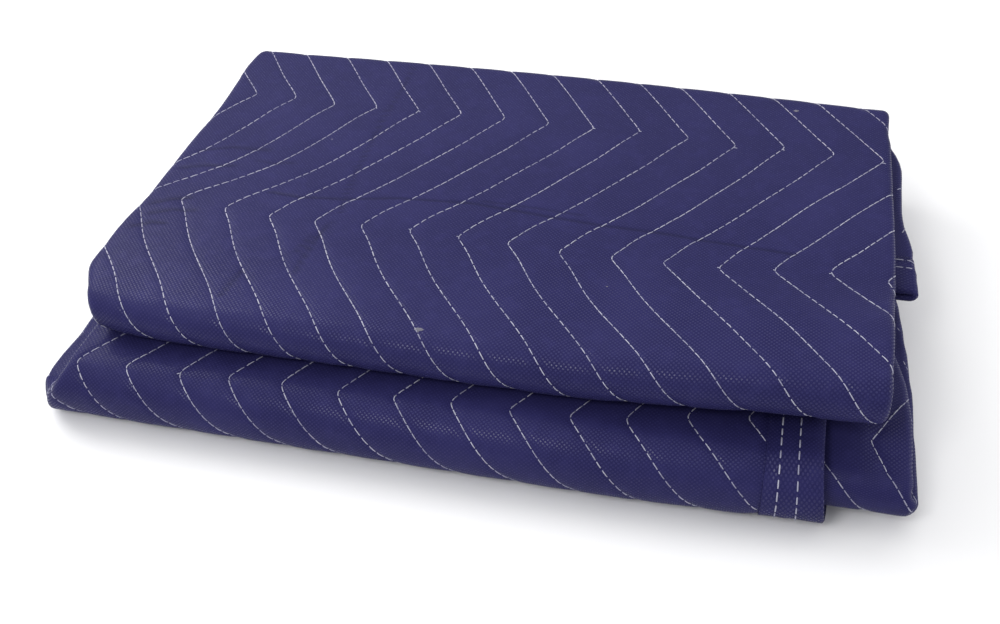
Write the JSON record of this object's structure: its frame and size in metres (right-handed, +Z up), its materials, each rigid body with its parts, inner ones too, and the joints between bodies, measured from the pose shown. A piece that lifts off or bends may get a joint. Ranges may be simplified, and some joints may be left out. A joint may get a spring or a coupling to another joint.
{
  "type": "moving blanket",
  "caption": "Quilted moving blanket folded in thirds and then back and forth into a flat stack, with bound edges and zigzag quilting.",
  "frame": {"origin": "centre of the folded stack's footprint, on the floor", "axes": "+X along the long side of the stack, +Y to its back, +Z up through the layers"},
  "size_m": [0.6615, 0.426, 0.1142],
  "materials": {
    "panel": "matte non-woven cloth",
    "binding": "matte non-woven tape"
  },
  "bodies": {
    "root": {"quilted_panel": "panel", "flap_side_binding": "binding", "inner_side_binding": "binding", "free_end_binding": "binding", "hidden_end_binding": "binding"}
  },
  "joints": []
}
